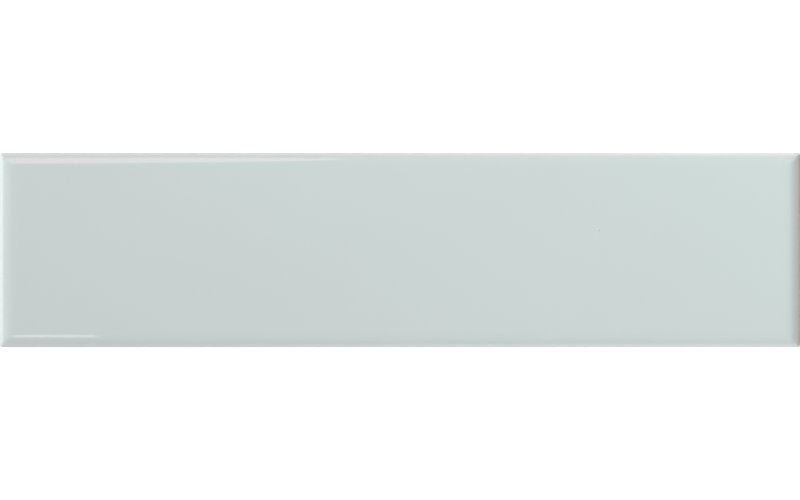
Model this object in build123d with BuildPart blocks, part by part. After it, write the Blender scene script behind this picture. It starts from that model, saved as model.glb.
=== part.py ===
"""Glazed ceramic subway tile, pressed and fired as one piece.

The tile lies on its back with the glazed face up. The origin is at the centre of the back,
+X runs along the length, +Y across the width and +Z out of the face. Lengths are millimetres.
"""

import os

from build123d import *

# Outline of the tile
tile_length = 300.0
tile_width = 72.8
tile_thickness = 8.5
corner_radius = 0.8

# Cushion edge: a quarter ellipse that rolls the face over into the upright sides
cushion_width = 5.4
cushion_drop = 1.7

# Keyed back: ribs around shallow pockets that the tile adhesive fills
back_bevel = 1.0
back_border = 5.0
rib_width = 2.4
pocket_depth = 0.7
pocket_draft = 30.0
pocket_corner = 1.6
pocket_columns = 14
pocket_rows = 3

# Sizes that follow from those above
shoulder_height = tile_thickness - cushion_drop
keyed_length = tile_length - 2 * back_border
keyed_width = tile_width - 2 * back_border
pocket_length = (keyed_length - (pocket_columns - 1) * rib_width) / pocket_columns
pocket_width = (keyed_width - (pocket_rows - 1) * rib_width) / pocket_rows

with BuildPart() as tile:
    # Plan of the tile, with the small rounding of its four upright corners
    with BuildSketch():
        RectangleRounded(tile_length, tile_width, corner_radius)
    extrude(amount=tile_thickness)

    # One section runs along the tile and the same section runs across it, both past its ends.
    # What both have in common has a cushion edge on all four sides, mitred at the corners.
    for section_plane, across, along in (
        (Plane.YZ, tile_width, tile_length),
        (Plane.XZ, tile_length, tile_width),
    ):
        half = across / 2
        cushion_start = half - cushion_width
        with BuildSketch(section_plane.offset(-along)):
            with BuildLine():
                Polyline(
                    (0, 0),
                    (half - back_bevel, 0),
                    (half, back_bevel),
                    (half, shoulder_height),
                )
                EllipticalCenterArc(
                    (cushion_start, shoulder_height),
                    cushion_width,
                    cushion_drop,
                    start_angle=0,
                    arc_size=90,
                )
                Line((cushion_start, tile_thickness), (0, tile_thickness))
                mirror(about=Plane.YZ)
            make_face()
        extrude(amount=2 * along, mode=Mode.INTERSECT)

    # Pockets pressed into the back, which leave the grid of ribs standing between them
    with BuildSketch():
        with GridLocations(
            pocket_length + rib_width,
            pocket_width + rib_width,
            pocket_columns,
            pocket_rows,
        ):
            RectangleRounded(pocket_length, pocket_width, pocket_corner)
    extrude(amount=pocket_depth, taper=pocket_draft, mode=Mode.SUBTRACT)

tile.part.label = "subway_tile"

os.makedirs("parts", exist_ok=True)
export_step(tile.part, "parts/subway_tile.step")
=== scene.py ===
"""A glazed subway tile, dressed over its solid frame and lit for a product picture.

The tile lies on its back, with +X along its length, +Y across it and +Z out of the glazed face.
Lengths in the classes are millimetres. They become metres where a mesh, a lamp or a camera is made.
"""

import logging
import math
from dataclasses import dataclass
from enum import Enum, IntEnum
from typing import Any, Mapping, Sequence, Union

import bpy
import numpy as np
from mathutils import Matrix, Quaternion, Vector

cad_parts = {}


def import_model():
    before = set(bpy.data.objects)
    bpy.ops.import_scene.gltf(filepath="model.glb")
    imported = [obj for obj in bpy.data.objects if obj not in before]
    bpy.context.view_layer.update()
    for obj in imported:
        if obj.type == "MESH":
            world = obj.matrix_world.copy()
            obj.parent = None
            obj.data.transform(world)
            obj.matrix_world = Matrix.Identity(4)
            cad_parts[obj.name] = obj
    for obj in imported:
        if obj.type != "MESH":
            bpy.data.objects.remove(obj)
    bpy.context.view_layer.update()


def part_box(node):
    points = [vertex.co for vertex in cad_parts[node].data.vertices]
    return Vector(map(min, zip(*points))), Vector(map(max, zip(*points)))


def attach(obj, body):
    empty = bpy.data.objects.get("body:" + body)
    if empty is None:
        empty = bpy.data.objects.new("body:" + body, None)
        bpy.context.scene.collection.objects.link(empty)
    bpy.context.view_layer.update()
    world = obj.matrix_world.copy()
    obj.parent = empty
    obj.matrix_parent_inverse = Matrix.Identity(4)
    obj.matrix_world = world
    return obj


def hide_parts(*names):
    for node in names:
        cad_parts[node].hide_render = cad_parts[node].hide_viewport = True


LOG = logging.getLogger("subway_tile")
MM = 0.001
TILE_NODE = "subway_tile"
TILE_BODY = "root"
NOISE_MEAN = 0.5

Colour = tuple[float, float, float]
Point = tuple[float, float, float]
Reach = tuple[float, float]
Measure = Union[float, np.ndarray]

BLACK: Colour = (0.0, 0.0, 0.0)
WHITE: Colour = (1.0, 1.0, 1.0)


def opaque(colour: Colour) -> tuple[float, float, float, float]:
    """A colour with the alpha that Blender's colour sockets ask for."""
    return (*colour, 1.0)


def shares(steps: int) -> np.ndarray:
    """Even shares from 0 to 1."""
    return np.linspace(0, 1, steps + 1)


def ease(share: float) -> float:
    """Let a share start and end gently."""
    return share * share * (3 - 2 * share)


class Zone(IntEnum):
    """What a face of the tile's skin is made of, by its material slot."""

    GLAZE = 0
    BISCUIT = 1


class Wire:
    """A shader value that Python's operators turn into Math nodes."""

    def __init__(self, bench: "Bench", socket: bpy.types.NodeSocket) -> None:
        """Keep the socket and the bench that its node stands on."""
        self.bench = bench
        self.socket = socket

    def maths(self, operation: str, *values: "Value") -> "Wire":
        """Add a Math node.

        Args:
            operation: Name of the Math node's operation.
            values: Numbers or wires for its sockets, in order.

        Returns:
            The node's result.
        """
        return self.bench.node("ShaderNodeMath", {"operation": operation}, dict(enumerate(values)))

    def __add__(self, other: "Value") -> "Wire":
        """Sum."""
        return self.maths("ADD", self, other)

    def __radd__(self, other: "Value") -> "Wire":
        """Sum, with the wire on the right."""
        return self.maths("ADD", other, self)

    def __sub__(self, other: "Value") -> "Wire":
        """Difference."""
        return self.maths("SUBTRACT", self, other)

    def __rsub__(self, other: "Value") -> "Wire":
        """Difference, with the wire on the right."""
        return self.maths("SUBTRACT", other, self)

    def __mul__(self, other: "Value") -> "Wire":
        """Product."""
        return self.maths("MULTIPLY", self, other)

    def __rmul__(self, other: "Value") -> "Wire":
        """Product, with the wire on the right."""
        return self.maths("MULTIPLY", other, self)

    def __truediv__(self, other: "Value") -> "Wire":
        """Quotient."""
        return self.maths("DIVIDE", self, other)

    def __rtruediv__(self, other: "Value") -> "Wire":
        """Quotient, with the wire on the right."""
        return self.maths("DIVIDE", other, self)

    def __abs__(self) -> "Wire":
        """Size without sign."""
        return self.maths("ABSOLUTE", self)

    def larger(self, other: "Value") -> "Wire":
        """The larger of two values."""
        return self.maths("MAXIMUM", self, other)

    def towards(self, other: "Value", share: "Value") -> "Wire":
        """Move a share of the way to another value."""
        return self + (other - self) * share

    def fade(self, start: float, end: float) -> "Wire":
        """Ease from 0 at start to 1 at end.

        Args:
            start: Value that gives 0.
            end: Value that gives 1. It may be the smaller of the two.

        Returns:
            The eased value.
        """
        low, high = min(start, end), max(start, end)
        eased = self.bench.node(
            "ShaderNodeMapRange",
            {"interpolation_type": "SMOOTHSTEP"},
            {"Value": self, "From Min": low, "From Max": high},
        )
        return eased if start < end else 1 - eased


Value = Union[float, Sequence[float], Wire]


@dataclass(frozen=True)
class Grain:
    """Scale of a cloudy noise.

    The size is that of its largest clouds. Octaves of finer noise lie over them, and each has the
    given share of the one before it.
    """

    size: float
    octaves: float = 2.0
    octave_share: float = 0.5


class Bench:
    """The node tree of one material in the making."""

    def __init__(self, name: str) -> None:
        """Start a material with an empty tree.

        Args:
            name: Name of the material.
        """
        self.material = bpy.data.materials.new(name)
        self.material.use_nodes = True
        self.tree = self.material.node_tree
        self.tree.nodes.clear()

    @staticmethod
    def pick(sockets: Any, key: Union[int, str]) -> bpy.types.NodeSocket:
        """Find a socket.

        Args:
            sockets: The inputs or outputs of a node.
            key: A place in the list, or else an identifier or a name.

        Returns:
            The socket.
        """
        if isinstance(key, int):
            return sockets[key]
        return next((s for s in sockets if s.identifier == key), None) or sockets[key]

    def add(
        self,
        kind: str,
        settings: Mapping[str, Any],
        values: Mapping[Union[int, str], Value],
    ) -> bpy.types.Node:
        """Add a node.

        Args:
            kind: Blender's type name of the node.
            settings: Properties, which are set before anything else.
            values: Numbers, colours or wires for its input sockets.

        Returns:
            The node.
        """
        made = self.tree.nodes.new(kind)
        for name, setting in settings.items():
            setattr(made, name, setting)
        for key, value in values.items():
            socket = self.pick(made.inputs, key)
            if isinstance(value, Wire):
                self.tree.links.new(value.socket, socket)
            else:
                socket.default_value = value
        return made

    def node(
        self,
        kind: str,
        settings: Mapping[str, Any],
        values: Mapping[Union[int, str], Value],
        result: Union[int, str] = 0,
    ) -> Wire:
        """Add a node and lead on from one of its outputs.

        Args:
            kind: Blender's type name of the node.
            settings: Properties, which are set before anything else.
            values: Numbers, colours or wires for its input sockets.
            result: The output that is wanted.

        Returns:
            That output.
        """
        return Wire(self, self.pick(self.add(kind, settings, values).outputs, result))

    def axes(self, vector: Wire) -> tuple[Wire, Wire, Wire]:
        """Split a vector into its three parts."""
        x, y, z = self.add("ShaderNodeSeparateXYZ", {}, {0: vector}).outputs
        return Wire(self, x), Wire(self, y), Wire(self, z)

    def place_mm(self) -> Wire:
        """The point being shaded, in the tile's own frame, in millimetres."""
        metres = self.node("ShaderNodeTexCoord", {}, {}, "Object")
        return self.node(
            "ShaderNodeVectorMath", {"operation": "SCALE"}, {0: metres, "Scale": 1 / MM}
        )

    def noise(self, place: Wire, grain: Grain) -> Wire:
        """Cloudy noise.

        Args:
            place: Where it is read, in millimetres.
            grain: Its scale.

        Returns:
            A value from 0 to 1, which lies about the noise's mean.
        """
        return self.node(
            "ShaderNodeTexNoise",
            {},
            {
                "Vector": place,
                "Scale": 1 / grain.size,
                "Detail": grain.octaves,
                "Roughness": grain.octave_share,
            },
        )

    def sway(self, place: Wire, grain: Grain, spread: float) -> Wire:
        """Cloudy noise about zero.

        Args:
            place: Where it is read, in millimetres.
            grain: Its scale.
            spread: What the noise is multiplied by.

        Returns:
            The swaying value.
        """
        return (self.noise(place, grain) - NOISE_MEAN) * spread

    def mix(self, share: Value, one: Value, two: Value) -> Wire:
        """Blend two colours.

        Args:
            share: Share of the second colour.
            one: First colour.
            two: Second colour.

        Returns:
            The blend.
        """
        colours = {
            key: colour if isinstance(colour, Wire) else opaque(colour)
            for key, colour in (("A_Color", one), ("B_Color", two))
        }
        return self.node(
            "ShaderNodeMix",
            {"data_type": "RGBA"},
            {"Factor_Float": share, **colours},
            "Result_Color",
        )

    def bump(self, height_mm: Wire) -> Wire:
        """Tilt the surface's normal by a relief of that height."""
        return self.node("ShaderNodeBump", {}, {"Height": height_mm, "Distance": MM})

    def surface(self, values: Mapping[str, Value]) -> bpy.types.Material:
        """Close the tree with one principled surface.

        Args:
            values: Values of the shader's sockets, by name.

        Returns:
            The finished material.
        """
        shader = self.node("ShaderNodeBsdfPrincipled", {}, values)
        self.add("ShaderNodeOutputMaterial", {}, {"Surface": shader})
        return self.material


@dataclass(frozen=True)
class Nib:
    """A speck of grit under the glaze, which lifts it a little."""

    x: float
    y: float
    radius: float
    height: float

    def lift(self, bench: Bench, place: Wire, level: float) -> Wire:
        """Height of the nib over the face.

        Args:
            bench: The material in the making.
            place: Where it is read, in millimetres.
            level: Height of the face.

        Returns:
            Its height in millimetres.
        """
        away = bench.node(
            "ShaderNodeVectorMath",
            {"operation": "DISTANCE"},
            {0: place, 1: (self.x, self.y, level)},
            "Value",
        )
        return away.fade(self.radius, 0.0) * self.height


@dataclass(frozen=True)
class Glaze:
    """Glossy pale glaze, a little paler towards one corner, with the clay showing through at one end and
    painted shade darkening the cushion and the arris there.

    The arris and all starts, rises and falls are places across the cushion, from 0 at the flat face to
    1 at the tile's outline. The thin glaze's reach lies along the tile, from -1 at the left end to 1.
    """

    deep_colour: Colour = (0.552, 0.615, 0.617)
    pale_colour: Colour = (0.640, 0.747, 0.724)
    drift_length: float = 420.0
    drift_lean: float = 1.58
    drift_middle: float = 0.5
    cloud_grain: Grain = Grain(42.0, 3.0)
    cloud_share: float = 0.12
    thin_deep_colour: Colour = (0.578, 0.590, 0.584)
    thin_pale_colour: Colour = (0.705, 0.745, 0.735)
    thin_lean: float = 0.15
    thin_reach: Reach = (-0.8, 1.0)
    thin_start: float = 0.60
    clay_colour: Colour = (0.645, 0.540, 0.458)
    clay_share: float = 0.70
    clay_start: float = 0.50
    clay_lean: float = 0.12
    bare_and_shade_colour: Colour = (0.380, 0.310, 0.255)
    bare_and_shade_share: float = 0.60
    bare_and_shade_start: float = 0.90
    end_shade_share: float = 0.45
    end_shade_rise: Reach = (0.20, 0.52)
    end_shade_fall: Reach = (0.82, 0.60)
    arris: float = 1.02
    arris_drop: float = 0.7
    streak_grain: Grain = Grain(6.0, 3.0)
    streak_share: float = 0.10
    roughness: float = 0.020
    arris_roughness: float = 0.10
    clay_roughness: float = 0.45
    smear_grain: Grain = Grain(18.0, 4.0, 0.6)
    smear_share: float = 0.01
    refraction: float = 1.54
    peel_grain: Grain = Grain(2.6, 1.0)
    peel_height: float = 0.0008
    nibs: tuple[Nib, ...] = (
        Nib(x=74.25, y=7.5, radius=0.70, height=0.150),
        Nib(x=137.25, y=33.0, radius=0.60, height=0.080),
    )

    def material(self, tile: "GlazedTile") -> bpy.types.Material:
        """Make the glaze.

        Args:
            tile: The tile that it covers, for the place of its cushion edge.

        Returns:
            The material.
        """
        bench = Bench("pale_glaze")
        place = bench.place_mm()
        x, y, z = bench.axes(place)
        streak = bench.sway(place, self.streak_grain, self.streak_share)
        clay_run = (x - tile.core[0]) / tile.cushion_width + streak
        side_run = (abs(y) - tile.core[1]) / tile.cushion_width + streak
        end_run = (abs(x) - tile.core[0]) / tile.cushion_width + streak
        above = z.fade(tile.shoulder - self.arris_drop, tile.shoulder)
        clay_depth = self.clay_share + y * (self.clay_lean / tile.half[1])
        clay = clay_run.fade(self.clay_start, self.arris) * above * clay_depth
        # Partly bare clay at the +X arris, partly painted shade: its colour is much darker than the
        # fired clay's own, for the shade on that edge.
        bare_and_shade = clay_run.fade(self.bare_and_shade_start, self.arris) * above * self.bare_and_shade_share
        # Painted shade: a darker band across the cushion at the +X end, mixed towards the deep colour,
        # where that end lies in shade.
        painted_end_shade = clay_run.fade(*self.end_shade_rise) * clay_run.fade(*self.end_shade_fall) * self.end_shade_share
        thin = side_run.fade(self.thin_start, self.arris) * above
        worn = side_run.larger(end_run).fade(self.thin_start, self.arris)
        cloud = bench.sway(place, self.cloud_grain, self.cloud_share)
        drift = (x + y * self.drift_lean) / self.drift_length + self.drift_middle + cloud
        thin_drift = x / tile.half[0] - y * (self.thin_lean / tile.half[1])
        thin_drift = thin_drift.fade(*self.thin_reach)
        thin_colour = bench.mix(thin_drift, self.thin_deep_colour, self.thin_pale_colour)
        colour = bench.mix(drift, self.deep_colour, self.pale_colour)
        colour = bench.mix(painted_end_shade, colour, self.deep_colour)
        colour = bench.mix(thin, colour, thin_colour)
        colour = bench.mix(clay, colour, self.clay_colour)
        colour = bench.mix(bare_and_shade, colour, self.bare_and_shade_colour)
        smear = bench.sway(place, self.smear_grain, self.smear_share)
        roughness = self.roughness + smear + worn * (self.arris_roughness - self.roughness)
        roughness = roughness + clay * (self.clay_roughness - self.arris_roughness)
        relief = bench.noise(place, self.peel_grain) * self.peel_height
        for nib in self.nibs:
            relief = relief + nib.lift(bench, place, tile.height)
        return bench.surface(
            {
                "Base Color": colour,
                "Roughness": roughness,
                "Normal": bench.bump(relief),
                "IOR": self.refraction,
            }
        )


@dataclass(frozen=True)
class Biscuit:
    """The fired clay where no glaze covers it, with kiln wash on what stood on the kiln's rollers.

    The wash reaches into the pockets of the back by a share of their depth.
    """

    colour: Colour = (0.585, 0.490, 0.400)
    pale_colour: Colour = (0.660, 0.580, 0.495)
    dark_colour: Colour = (0.440, 0.345, 0.270)
    wash_colour: Colour = (0.740, 0.710, 0.670)
    roughness: float = 0.88
    roughness_spread: float = 0.1
    gloss: float = 0.25
    cloud_grain: Grain = Grain(24.0, 4.0, 0.6)
    cloud_fade: Reach = (0.3, 0.7)
    cloud_height: float = 0.02
    grit_grain: Grain = Grain(0.55, 3.0, 0.65)
    grit_fade: Reach = (0.62, 0.80)
    grit_share: float = 0.5
    grit_height: float = 0.045
    pore_spacing: float = 1.7
    pore_radius: float = 0.26
    pore_depth: float = 0.06
    pore_shade_share: float = 0.6
    rub_grain: Grain = Grain(3.2, 5.0, 0.7)
    rub_fade: Reach = (0.42, 0.66)
    wash_reach: float = 0.35
    wash_share: float = 0.55

    def material(self, tile: "GlazedTile") -> bpy.types.Material:
        """Make the fired clay.

        Args:
            tile: The tile that it is the body of, for the depth of its pockets.

        Returns:
            The material.
        """
        bench = Bench("fired_clay")
        place = bench.place_mm()
        _, _, z = bench.axes(place)
        cloud = bench.noise(place, self.cloud_grain)
        grit = bench.noise(place, self.grit_grain)
        pores = bench.node(
            "ShaderNodeTexVoronoi",
            {},
            {"Vector": place, "Scale": 1 / self.pore_spacing},
            "Distance",
        )
        pit = pores.fade(self.pore_radius / self.pore_spacing, 0.0)
        rub = bench.noise(place, self.rub_grain).fade(*self.rub_fade)
        wash = z.fade(self.wash_reach * tile.pocket_depth, 0.0) * rub
        colour = bench.mix(cloud.fade(*self.cloud_fade), self.colour, self.pale_colour)
        colour = bench.mix(grit.fade(*self.grit_fade) * self.grit_share, colour, self.dark_colour)
        # Painted shade: the pores are mixed towards the dark colour for the shade in their pits, besides
        # their bump depth.
        colour = bench.mix(pit * self.pore_shade_share, colour, self.dark_colour)
        colour = bench.mix(wash * self.wash_share, colour, self.wash_colour)
        relief = grit * self.grit_height - pit * self.pore_depth + cloud * self.cloud_height
        return bench.surface(
            {
                "Base Color": colour,
                "Roughness": self.roughness + (grit - NOISE_MEAN) * self.roughness_spread,
                "Normal": bench.bump(relief),
                "Specular IOR Level": self.gloss,
            }
        )


@dataclass(frozen=True)
class Sweep:
    """White table that glows from below, so that shadows on it stay faint."""

    colour: Colour = (0.28, 0.28, 0.28)
    cloud_colour: Colour = (0.27, 0.27, 0.27)
    cloud_grain: Grain = Grain(900.0)
    glow: float = 0.86
    roughness: float = 0.9
    gloss: float = 0.1

    def material(self) -> bpy.types.Material:
        """Make the white of the table.

        Returns:
            The material.
        """
        bench = Bench("white_table")
        cloud = bench.noise(bench.place_mm(), self.cloud_grain)
        return bench.surface(
            {
                "Base Color": bench.mix(cloud, self.colour, self.cloud_colour),
                "Roughness": self.roughness,
                "Specular IOR Level": self.gloss,
                "Emission Color": opaque(WHITE),
                "Emission Strength": self.glow,
            }
        )


@dataclass(frozen=True)
class WallGlow:
    """Glow of the round wall: white at its foot, and above it a band that is brightest on the left.

    Each fade runs between two heights, as shares of the wall's radius. Each pair of glows is for the
    right and for the left.
    """

    foot: float = 1.05
    foot_fade: Reach = (0.16, 0.09)
    low: tuple[float, float] = (0.45, 0.85)
    band: tuple[float, float] = (0.85, 2.55)
    band_fade: Reach = (0.30, 0.50)
    top: float = 0.25
    top_fade: Reach = (0.84, 0.95)
    peak: float = 3.0

    def material(self, radius: float) -> bpy.types.Material:
        """Make the glow of the wall.

        Args:
            radius: Radius of the wall.

        Returns:
            The material.
        """
        bench = Bench("bright_wall")
        x, _, z = bench.axes(bench.place_mm())
        rise = z / radius
        left = 0.5 - x / (2 * radius)
        low = self.low[0] + left * (self.low[1] - self.low[0])
        band = self.band[0] + left * left * (self.band[1] - self.band[0])
        glow = low.towards(band, rise.fade(*self.band_fade))
        glow = glow.towards(self.top, rise.fade(*self.top_fade))
        glow = glow.towards(self.foot, rise.fade(*self.foot_fade))
        return bench.surface(
            {
                "Base Color": opaque(BLACK),
                "Specular IOR Level": 0.0,
                "Emission Color": bench.mix(glow / self.peak, BLACK, WHITE),
                "Emission Strength": self.peak,
            }
        )


class Skin:
    """Points and faces of one closed mesh in the making."""

    def __init__(self) -> None:
        """Start with no points."""
        self.rows: list[np.ndarray] = []
        self.count = 0
        self.faces: list[tuple[int, ...]] = []
        self.zones: list[Zone] = []

    def add(self, points: np.ndarray) -> np.ndarray:
        """Add points.

        Args:
            points: Their places in millimetres, in an array of any shape with three numbers at its end.

        Returns:
            Their numbers, in the same shape.
        """
        flat = points.reshape(-1, 3)
        numbers = np.arange(self.count, self.count + len(flat)).reshape(points.shape[:-1])
        self.rows.append(flat)
        self.count += len(flat)
        return numbers

    def bridge(self, one: np.ndarray, two: np.ndarray, zone: Zone) -> np.ndarray:
        """Join two closed loops with a band of faces, which look away from the tile.

        Args:
            one: The loop that is nearer to the middle of the face, along the skin.
            two: The next loop, with as many points.
            zone: What the band is made of.

        Returns:
            The second loop.
        """
        for corners in zip(two, np.roll(two, -1), np.roll(one, -1), one):
            self.face(corners, zone)
        return two

    def patch(self, grid: np.ndarray, zone: Zone) -> None:
        """Fill a grid of point numbers with faces.

        Args:
            grid: The numbers, row by row.
            zone: What the patch is made of.
        """
        quads = np.stack((grid[:-1, :-1], grid[:-1, 1:], grid[1:, 1:], grid[1:, :-1]), axis=-1)
        for corners in quads.reshape(-1, 4):
            self.face(corners, zone)

    def face(self, corners: Sequence[int], zone: Zone) -> None:
        """Add a face, a triangle where two corners are one point.

        Args:
            corners: Point numbers around the face.
            zone: What it is made of.
        """
        distinct = tuple(dict.fromkeys(int(corner) for corner in corners))
        if len(distinct) > 2:
            self.faces.append(distinct)
            self.zones.append(zone)

    def mesh(self, name: str) -> bpy.types.Mesh:
        """Turn the points and faces into a mesh.

        Args:
            name: Name of the mesh.

        Returns:
            The mesh, in metres and smoothly shaded.
        """
        mesh = bpy.data.meshes.new(name)
        mesh.from_pydata((np.concatenate(self.rows) * MM).tolist(), [], self.faces)
        mesh.polygons.foreach_set("material_index", self.zones)
        mesh.shade_smooth()
        mesh.update()
        return mesh


@dataclass
class GlazedTile:
    """The tile as one closed skin: glazed face, cushion and skirt, bare flanks and keyed back.

    Every loop of points around the tile follows the same stations. The stations stand along the rim
    of the flat core of the face, and at its corners they fan out over the mitre.
    """

    low: Sequence[float]
    high: Sequence[float]
    name: str = "glazed_subway_tile"
    cushion_width: float = 5.4
    cushion_drop: float = 1.7
    corner_squareness: float = 12.0
    back_bevel: float = 1.0
    back_border: float = 5.0
    border_rim: float = 0.66
    rib_width: float = 2.4
    pocket_depth: float = 0.7
    pocket_draft: float = 30.0
    pocket_corner: float = 1.6
    pocket_columns: int = 14
    pocket_rows: int = 3
    glaze_thickness: float = 0.20
    glaze_reach: float = 1.1
    glaze_wander: float = 0.32
    wander_cycles: tuple[int, int] = (4, 90)
    wander_fall: float = 0.6
    drip_count: int = 26
    drip_length: float = 1.3
    drip_length_spread: Reach = (0.25, 1.0)
    drip_width: float = 1.7
    drip_width_spread: Reach = (0.7, 1.5)
    lip_height: float = 0.45
    ripple_height: float = 0.012
    wave_count: int = 9
    wave_length: Reach = (22.0, 70.0)
    soft_edge: float = 0.22
    cell_steps: int = 18
    corner_steps: int = 3
    fan_steps: int = 24
    fan_ease: float = 1.6
    cushion_steps: int = 18
    skirt_steps: int = 2
    lip_steps: int = 4
    flank_steps: int = 4
    bend_steps: int = 3
    wall_steps: int = 7
    seed: int = 11

    def __post_init__(self) -> None:
        """Work out the stations and the sizes that follow from the fields."""
        self.half = (np.array(self.high) - np.array(self.low))[:2] / 2
        self.height = self.high[2]
        self.shoulder = self.height - self.cushion_drop
        self.core = self.half - self.cushion_width
        self.steps = (self.pocket_columns * self.cell_steps, self.pocket_rows * self.cell_steps)
        self.random = np.random.default_rng(self.seed)
        self.waves = self.make_waves()
        self.core_x, self.core_y = self.spread(self.core)
        self.rim = np.column_stack((self.around(self.core_x), self.around(self.core_y)))
        self.outward = self.make_outward()
        self.girth = self.make_girth()
        self.glaze_line = self.make_glaze_line()

    def spread(self, half: Sequence[float]) -> tuple[np.ndarray, np.ndarray]:
        """Spread a grid of places evenly over a rectangle about the middle.

        Args:
            half: Half its length and half its width.

        Returns:
            The x and the y of each place.
        """
        lines = [np.linspace(-size, size, steps + 1) for size, steps in zip(half, self.steps)]
        return tuple(np.meshgrid(*lines))

    def around(self, grid: np.ndarray) -> np.ndarray:
        """Walk around the rim of a grid, with each corner repeated for the stations of its fan."""
        sides = (grid[0], grid[:, -1], grid[-1, ::-1], grid[::-1, 0])
        return np.concatenate([np.append(side, [side[-1]] * (self.fan_steps - 1)) for side in sides])

    def make_outward(self) -> np.ndarray:
        """Give each station its way out of the tile, fanned at the corners over a rounded square.

        Returns:
            The way in plan, whose length is 1 along the sides.
        """
        share = np.linspace(-1, 1, self.fan_steps + 1)[1:-1]
        fan = math.pi / 4 * (1 + np.sign(share) * np.abs(share) ** self.fan_ease)
        angles = []
        for quarter in range(4):
            straight = np.zeros(self.steps[quarter % 2] + 1)
            angles.append(np.concatenate((straight, fan)) + (quarter - 1) * math.pi / 2)
        turns = np.concatenate(angles)
        ray = np.column_stack((np.cos(turns), np.sin(turns)))
        power = self.corner_squareness
        return ray / (np.abs(ray) ** power).sum(axis=1, keepdims=True) ** (1 / power)

    def make_girth(self) -> np.ndarray:
        """Give each station its place along the outline.

        Returns:
            A value from 0 to 1 at each station.
        """
        outline = self.rim + self.cushion_width * self.outward
        walked = np.linalg.norm(np.roll(outline, -1, axis=0) - outline, axis=1).cumsum()
        return np.append(0, walked[:-1]) / walked[-1]

    def make_waves(self) -> np.ndarray:
        """Draw the slow waves in the face.

        Returns:
            For each wave its two counts per millimetre, along and across the tile, and its phase.
        """
        turn = self.random.uniform(0, math.pi, self.wave_count)
        length = self.random.uniform(*self.wave_length, self.wave_count)
        phase = self.random.uniform(0, 2 * math.pi, self.wave_count)
        return np.column_stack((np.cos(turn) / length, np.sin(turn) / length, phase))

    def make_glaze_line(self) -> np.ndarray:
        """Give each station the height at which the glaze ends on the sides."""
        return self.shoulder - self.glaze_reach + self.glaze_wander * self.wander() - self.drips()

    def ripple(self, x: np.ndarray, y: np.ndarray) -> np.ndarray:
        """Height of the slow waves that the glaze froze with, never above the face."""
        total = sum(np.sin(2 * math.pi * (x * u + y * v) + phase) for u, v, phase in self.waves)
        return self.ripple_height * (total / self.wave_count - 1)

    def wander(self) -> np.ndarray:
        """Draw a wandering line around the tile.

        Returns:
            A value from -1 to 1 at each station.
        """
        line = np.zeros_like(self.girth)
        for cycles in range(*self.wander_cycles):
            phase = self.random.uniform(0, 2 * math.pi)
            swing = self.random.normal() / cycles**self.wander_fall
            line += swing * np.sin(2 * math.pi * cycles * self.girth + phase)
        return line / np.abs(line).max()

    def drips(self) -> np.ndarray:
        """Draw the drips below the glaze line.

        Returns:
            Their length at each station.
        """
        outline = 4 * float(self.half.sum())
        longest = np.zeros_like(self.girth)
        for _ in range(self.drip_count):
            away = (self.girth - self.random.random() + 0.5) % 1 - 0.5
            width = self.drip_width * self.random.uniform(*self.drip_width_spread) / outline
            length = self.drip_length * self.random.uniform(*self.drip_length_spread)
            longest = np.maximum(longest, length * np.exp(-((away / width) ** 2) / 2))
        return longest

    def ring(self, skin: Skin, inset: Measure, z: Measure) -> np.ndarray:
        """Add a loop of points around the tile.

        Args:
            skin: The mesh in the making.
            inset: How far inside the outline the loop lies, in all or at each station.
            z: Its height, in all or at each station.

        Returns:
            The numbers of its points.
        """
        reach = (self.cushion_width - inset) * np.ones_like(self.girth)
        plan = self.rim + reach[:, None] * self.outward
        return skin.add(np.column_stack((plan, z * np.ones_like(self.girth))))

    def add_face(self, skin: Skin) -> np.ndarray:
        """Add the flat core of the face.

        Args:
            skin: The mesh in the making.

        Returns:
            Its rim.
        """
        level = self.height + self.ripple(self.core_x, self.core_y)
        grid = skin.add(np.dstack((self.core_x, self.core_y, level)))
        skin.patch(grid, Zone.GLAZE)
        return self.around(grid)

    def add_cushion(self, skin: Skin, loop: np.ndarray) -> np.ndarray:
        """Roll the face over into the sides along a quarter ellipse.

        Args:
            skin: The mesh in the making.
            loop: Rim of the flat core.

        Returns:
            The loop at the shoulder, where the sides begin.
        """
        for angle in math.pi / 2 * shares(self.cushion_steps)[1:]:
            run = math.sin(angle)
            plan = self.rim + run * self.cushion_width * self.outward
            wave = (1 - run) * self.ripple(plan[:, 0], plan[:, 1])
            fall = self.cushion_drop * (1 - math.cos(angle))
            ring = self.ring(skin, self.cushion_width * (1 - run), self.height + wave - fall)
            loop = skin.bridge(loop, ring, Zone.GLAZE)
        return loop

    def add_skirt(self, skin: Skin, loop: np.ndarray) -> np.ndarray:
        """Run the glaze down the sides to its wandering lower lip.

        Args:
            skin: The mesh in the making.
            loop: The loop at the shoulder.

        Returns:
            The loop where the glaze ends on the biscuit.
        """
        lip = self.glaze_line + self.lip_height
        for share in shares(self.skirt_steps)[1:]:
            ring = self.ring(skin, 0.0, self.shoulder + share * (lip - self.shoulder))
            loop = skin.bridge(loop, ring, Zone.GLAZE)
        for share in shares(self.lip_steps)[1:]:
            ring = self.ring(skin, self.glaze_thickness * ease(share), lip - share * self.lip_height)
            loop = skin.bridge(loop, ring, Zone.GLAZE)
        return loop

    def add_flank(self, skin: Skin, loop: np.ndarray) -> np.ndarray:
        """Run the bare sides down, over the bevel and onto the border of the back.

        Args:
            skin: The mesh in the making.
            loop: The loop where the glaze ends.

        Returns:
            The last loop on the border of the back.
        """
        foot = self.back_bevel - self.glaze_thickness
        for share in shares(self.flank_steps)[1:-1]:
            height = self.glaze_line + share * (foot + self.soft_edge - self.glaze_line)
            loop = skin.bridge(loop, self.ring(skin, self.glaze_thickness, height), Zone.BISCUIT)
        knots = (
            (self.glaze_thickness, self.shoulder),
            (self.glaze_thickness, foot),
            (self.back_bevel, 0.0),
            (self.back_bevel + self.border_rim, 0.0),
        )
        for inset, height in self.soften(knots):
            loop = skin.bridge(loop, self.ring(skin, inset, height), Zone.BISCUIT)
        return loop

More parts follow.
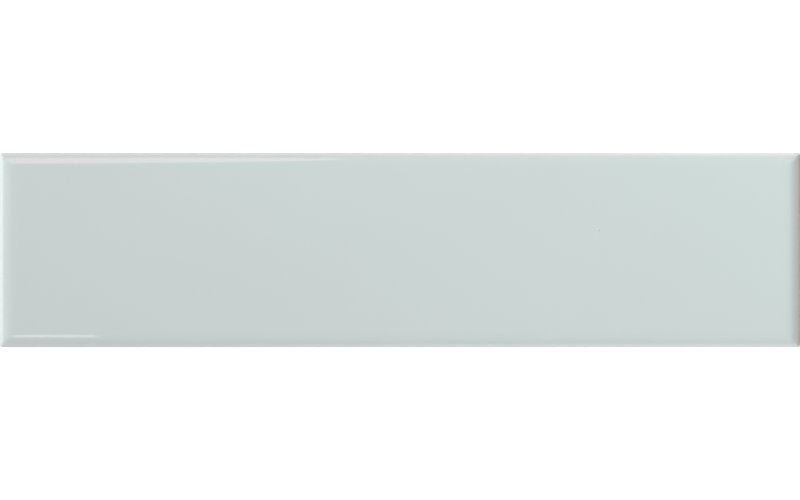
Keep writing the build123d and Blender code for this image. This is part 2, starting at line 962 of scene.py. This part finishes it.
    def soften(self, knots: Sequence[tuple[float, float]]) -> list[tuple[float, float]]:
        """Round the inner knots of a section.

        Args:
            knots: Inset and height of each knot.

        Returns:
            Places along the rounded section, without the first knot.
        """
        places = []
        points = [np.array(knot) for knot in knots]
        for before, knot, after in zip(points, points[1:], points[2:]):
            start = knot + self.soft_edge * (before - knot) / np.linalg.norm(before - knot)
            end = knot + self.soft_edge * (after - knot) / np.linalg.norm(after - knot)
            for share in shares(self.bend_steps):
                left = start + share * (knot - start)
                right = knot + share * (end - knot)
                places.append(tuple(left + share * (right - left)))
        return places + [tuple(points[-1])]

    def add_back(self, skin: Skin, loop: np.ndarray) -> None:
        """Close the skin with the ribs and pockets of the back.

        Args:
            skin: The mesh in the making.
            loop: The last loop on the border of the back.
        """
        keyed = 2 * (self.half - self.back_border) + self.rib_width
        cell = keyed / (self.pocket_columns, self.pocket_rows)
        lattice_x, lattice_y = self.spread(keyed / 2)
        lattice = np.full(lattice_x.shape, -1)
        rows, columns = np.indices(lattice.shape)
        on_rib = (rows % self.cell_steps == 0) | (columns % self.cell_steps == 0)
        rib_places = np.column_stack((lattice_x[on_rib], lattice_y[on_rib], np.zeros(on_rib.sum())))
        lattice[on_rib] = skin.add(rib_places)
        skin.bridge(loop, self.around(lattice), Zone.BISCUIT)
        for row, column in np.ndindex(self.pocket_rows, self.pocket_columns):
            centre = (np.array((column, row)) + 0.5) * cell - keyed / 2
            first_row, first_column = row * self.cell_steps, column * self.cell_steps
            window = lattice[
                first_row : first_row + self.cell_steps + 1,
                first_column : first_column + self.cell_steps + 1,
            ]
            self.add_pocket(skin, window, centre, (cell - self.rib_width) / 2)

    def add_pocket(self, skin: Skin, window: np.ndarray, centre: np.ndarray, half: np.ndarray) -> None:
        """Press one pocket into the back.

        Args:
            skin: The mesh in the making.
            window: Point numbers of its cell of the lattice of ribs.
            centre: Middle of the pocket.
            half: Half its length and half its width at its mouth.
        """
        wall = self.pocket_depth * math.tan(math.radians(self.pocket_draft))
        loop = self.walk(window)
        for share in shares(self.wall_steps):
            inset = share * (wall + 2 * self.soft_edge) - self.soft_edge
            plan = self.pocket_loop(half - inset, self.pocket_corner - inset) + centre
            depth = np.full(len(plan), self.pocket_depth * ease(share))
            loop = skin.bridge(loop, skin.add(np.column_stack((plan, depth))), Zone.BISCUIT)
        self.add_floor(skin, loop, plan)

    @staticmethod
    def walk(grid: np.ndarray) -> np.ndarray:
        """Walk once around the rim of a grid."""
        return np.concatenate((grid[0, :-1], grid[:-1, -1], grid[-1, :0:-1], grid[:0:-1, 0]))

    def pocket_loop(self, half: np.ndarray, radius: float) -> np.ndarray:
        """Places around a rectangle with round corners.

        Args:
            half: Half its length and half its width.
            radius: Radius of its corners.

        Returns:
            As many places as the rim of a cell has, from one corner around.
        """
        bend = radius * np.tan(math.pi / 4 * np.linspace(1, 0, self.corner_steps + 1))
        straight_steps = self.cell_steps - 2 * self.corner_steps
        lines = []
        for flat in half - radius:
            straight = np.linspace(-flat, flat, straight_steps + 1)
            lines.append(np.concatenate((-flat - bend[:-1], straight, flat + bend[-2::-1])))
        loop = np.column_stack([self.walk(grid) for grid in np.meshgrid(*lines)])
        pivot = np.clip(loop, radius - half, half - radius)
        arm = loop - pivot
        return pivot + radius * arm / np.linalg.norm(arm, axis=1, keepdims=True)

    def add_floor(self, skin: Skin, loop: np.ndarray, plan: np.ndarray) -> None:
        """Fill the floor of a pocket with a grid stretched between its sides.

        Args:
            skin: The mesh in the making.
            loop: Point numbers around the floor.
            plan: Their places in plan.
        """
        numbers = np.full((self.cell_steps + 1, self.cell_steps + 1), -1)
        places = np.zeros((*numbers.shape, 2))
        rows, columns = (self.walk(grid) for grid in np.indices(numbers.shape))
        numbers[rows, columns] = loop
        places[rows, columns] = plan
        u = shares(self.cell_steps)[None, :, None]
        v = shares(self.cell_steps)[:, None, None]
        level = (1 - v) * places[:1] + v * places[-1:]
        upright = (1 - u) * places[:, :1] + u * places[:, -1:]
        ends = (1 - v) * ((1 - u) * places[0, 0] + u * places[0, -1])
        ends = ends + v * ((1 - u) * places[-1, 0] + u * places[-1, -1])
        inside = (level + upright - ends)[1:-1, 1:-1]
        depth = np.full(inside.shape[:2], self.pocket_depth)
        numbers[1:-1, 1:-1] = skin.add(np.dstack((inside, depth)))
        skin.patch(numbers[:, ::-1], Zone.BISCUIT)

    def build(self) -> bpy.types.Object:
        """Build the tile's skin and set it in the place of the solid tile.

        Returns:
            The tile.
        """
        skin = Skin()
        loop = self.add_face(skin)
        loop = self.add_cushion(skin, loop)
        loop = self.add_skirt(skin, loop)
        loop = self.add_flank(skin, loop)
        self.add_back(skin, loop)
        tile = bpy.data.objects.new(self.name, skin.mesh(self.name))
        bpy.context.scene.collection.objects.link(tile)
        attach(tile, TILE_BODY)
        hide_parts(TILE_NODE)
        return tile

    def dress(self, tile: bpy.types.Object, glaze: Glaze, biscuit: Biscuit) -> None:
        """Give the tile its two finishes.

        Args:
            tile: The tile.
            glaze: Finish of the face, the cushion and the skirt.
            biscuit: Finish of the flanks and the back.
        """
        finishes = {Zone.GLAZE: glaze.material(self), Zone.BISCUIT: biscuit.material(self)}
        for zone in Zone:
            tile.data.materials.append(finishes[zone])


class Outline(Enum):
    """Outline of a lamp, by Blender's name for it."""

    RECTANGLE = "RECTANGLE"
    ELLIPSE = "ELLIPSE"

    def fill(self) -> float:
        """Share of its length times its width that the outline fills."""
        return math.pi / 4 if self is Outline.ELLIPSE else 1.0


@dataclass(frozen=True)
class Softbox:
    """A flat lamp of even brightness, which the camera itself doesn't see."""

    name: str
    place: Point
    aim: Point
    size: tuple[float, float]
    glow: Colour
    turn: float = 0.0
    outline: Outline = Outline.RECTANGLE
    mirrored: bool = True

    def hang(self) -> bpy.types.Object:
        """Hang the lamp in its place.

        Returns:
            The lamp.
        """
        light = bpy.data.lights.new(self.name, "AREA")
        light.shape = self.outline.value
        light.size, light.size_y = (side * MM for side in self.size)
        brightest = max(self.glow)
        light.color = tuple(part / brightest for part in self.glow)
        light.energy = math.pi * light.size * light.size_y * self.outline.fill() * brightest
        lamp = bpy.data.objects.new(self.name, light)
        heading = (Vector(self.aim) - Vector(self.place)).to_track_quat("-Z", "Y")
        lamp.rotation_mode = "QUATERNION"
        lamp.rotation_quaternion = heading @ Quaternion((0, 0, 1), math.radians(self.turn))
        lamp.location = Vector(self.place) * MM
        lamp.visible_camera = False
        lamp.visible_glossy = self.mirrored
        bpy.context.scene.collection.objects.link(lamp)
        return lamp


@dataclass(frozen=True)
class Window:
    """A window of the studio, so far away that it lights the whole tile alike.

    The glaze doesn't mirror it, since the round wall is mirrored in its place. Its bearing runs from
    +X towards +Y. Its upper and lower edges are given from straight up, and its spread is half its
    width. All four are degrees.
    """

    name: str
    bearing: float
    upper_edge: float
    lower_edge: float
    spread: float
    glow: float
    distance: float = 9000.0

    def softbox(self) -> Softbox:
        """Make the flat lamp that stands for the window.

        Returns:
            The lamp, not yet hung.
        """
        bearing = math.radians(self.bearing)
        middle = math.radians((self.upper_edge + self.lower_edge) / 2)
        away = self.distance * math.sin(middle)
        width = 2 * away * math.tan(math.radians(self.spread))
        height = 2 * self.distance * math.tan(math.radians((self.lower_edge - self.upper_edge) / 2))
        return Softbox(
            name=self.name,
            place=(away * math.cos(bearing), away * math.sin(bearing), self.distance * math.cos(middle)),
            aim=(0, 0, 0),
            size=(width, height),
            glow=(self.glow,) * 3,
            mirrored=False,
        )


@dataclass
class Studio:
    """The picture table: white sweep, round wall, soft light and a camera that looks straight down.

    The picture's width and the tile's bleed over each of its sides are pixels.
    """

    sweep_size: float = 30000.0
    wall_radius: float = 12000.0
    wall_sides: int = 96
    lens: float = 200.0
    sensor: float = 36.0
    picture_width: float = 800.0
    bleed: float = 0.25
    room_glow: Colour = (0.25, 0.25, 0.25)
    windows: tuple[Window, ...] = (
        Window("left_window", bearing=202.5, upper_edge=50, lower_edge=80, spread=45, glow=2.55),
        Window("left_back_window", bearing=135, upper_edge=35, lower_edge=80, spread=22.5, glow=3.57),
        Window("front_window", bearing=270, upper_edge=50, lower_edge=80, spread=22.5, glow=1.52),
        Window("back_window", bearing=90, upper_edge=50, lower_edge=89, spread=22.5, glow=1.24),
    )
    lamps: tuple[Softbox, ...] = (
        Softbox(
            name="ceiling",
            place=(0, 0, 9000),
            aim=(0, 0, 0),
            size=(6600, 6600),
            glow=(0.20, 0.20, 0.20),
        ),
        Softbox(
            name="back_lamp",
            place=(-274, 739, 1800),
            aim=(-274, 739, 0),
            size=(434, 803),
            glow=(2.70, 1.50, 1.62),
            turn=-13.0,
            outline=Outline.ELLIPSE,
        ),
        Softbox(
            name="front_strip",
            place=(-270, -330, 1800),
            aim=(-270, -330, 0),
            size=(66, 220),
            glow=(3.0, 2.8, 2.7),
        ),
        Softbox(
            name="right_fill",
            place=(500, 330, 900),
            aim=(500, 330, 0),
            size=(400, 400),
            glow=(0.9, 0.9, 0.9),
        ),
    )

    def build_sweep(self) -> bpy.types.Object:
        """Lay the sweep, which the glaze doesn't mirror.

        Returns:
            The sweep.
        """
        half = self.sweep_size * MM / 2
        corners = [(-half, -half, 0), (half, -half, 0), (half, half, 0), (-half, half, 0)]
        sweep = self.stand("sweep", corners, [(0, 1, 2, 3)])
        sweep.visible_glossy = False
        return sweep

    def build_wall(self) -> bpy.types.Object:
        """Stand the round wall, which is seen and mirrored but lights nothing.

        Returns:
            The wall.
        """
        radius = self.wall_radius * MM
        turns = np.linspace(0, 2 * math.pi, self.wall_sides, endpoint=False)
        ring = [(radius * math.cos(turn), radius * math.sin(turn)) for turn in turns]
        corners = [(x, y, z) for z in (0.0, radius) for x, y in ring]
        here = np.arange(self.wall_sides)
        after = np.roll(here, -1)
        sides = np.column_stack((after, here, here + self.wall_sides, after + self.wall_sides))
        wall = self.stand("round_wall", corners, sides.tolist())
        wall.visible_diffuse = False
        wall.visible_shadow = False
        return wall

    @staticmethod
    def stand(name: str, corners: Sequence[Point], faces: Sequence[Sequence[int]]) -> bpy.types.Object:
        """Add a piece of the stage.

        Args:
            name: Its name.
            corners: Its points in metres.
            faces: Its faces, as point numbers.

        Returns:
            The piece.
        """
        mesh = bpy.data.meshes.new(name)
        mesh.from_pydata(corners, [], faces)
        piece = bpy.data.objects.new(name, mesh)
        bpy.context.scene.collection.objects.link(piece)
        return piece

    def dress(
        self,
        sweep: bpy.types.Object,
        wall: bpy.types.Object,
        white: Sweep,
        glow: WallGlow,
    ) -> None:
        """Give the sweep its white and the wall its glow.

        Args:
            sweep: The sweep.
            wall: The round wall.
            white: Finish of the sweep.
            glow: Finish of the wall.
        """
        sweep.data.materials.append(white.material())
        wall.data.materials.append(glow.material(self.wall_radius))

    def light(self) -> list[bpy.types.Object]:
        """Hang the lamps and fill the room with soft light.

        Returns:
            The lamps.
        """
        world = bpy.data.worlds.new("studio_room")
        world.use_nodes = True
        backdrop = world.node_tree.nodes["Background"]
        backdrop.inputs["Color"].default_value = opaque(self.room_glow)
        backdrop.inputs["Strength"].default_value = 1.0
        bpy.context.scene.world = world
        bpy.context.scene.view_settings.view_transform = "Standard"
        softboxes = [window.softbox() for window in self.windows] + list(self.lamps)
        return [softbox.hang() for softbox in softboxes]

    def point_camera(self, tile: GlazedTile) -> bpy.types.Object:
        """Look straight down on the tile, which spans the picture and bleeds off its sides a little.

        Args:
            tile: The tile, whose outline is widest at its shoulder.

        Returns:
            The camera.
        """
        data = bpy.data.cameras.new("camera")
        data.lens = self.lens
        data.sensor_width = self.sensor
        data.sensor_fit = "HORIZONTAL"
        camera = bpy.data.objects.new("camera", data)
        shown = 2 * float(tile.half[0]) * self.picture_width / (self.picture_width + 2 * self.bleed)
        camera.location = (0.0, 0.0, (tile.shoulder + shown * self.lens / self.sensor) * MM)
        bpy.context.scene.collection.objects.link(camera)
        bpy.context.scene.camera = camera
        return camera


def report(piece: bpy.types.Object) -> None:
    """Log a piece's name, size and triangles.

    Args:
        piece: The piece.
    """
    triangles = sum(len(face.vertices) - 2 for face in piece.data.polygons)
    size = " x ".join(f"{side / MM:.1f}" for side in piece.dimensions)
    LOG.info("%s: %s mm, %d triangles", piece.name, size, triangles)


def main() -> None:
    """Load the frame, build and dress the tile, and set up the picture table."""
    logging.basicConfig(level=logging.INFO, format="%(name)s: %(message)s")
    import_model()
    low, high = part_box(TILE_NODE)
    tile = GlazedTile(low=[side / MM for side in low], high=[side / MM for side in high])
    skin = tile.build()
    tile.dress(skin, Glaze(), Biscuit())
    studio = Studio()
    sweep = studio.build_sweep()
    wall = studio.build_wall()
    studio.dress(sweep, wall, Sweep(), WallGlow())
    lamps = studio.light()
    studio.point_camera(tile)
    bpy.context.view_layer.update()
    for piece in (skin, sweep, wall):
        report(piece)
    LOG.info("%d lamps", len(lamps))


if __name__ == "__main__":
    main()
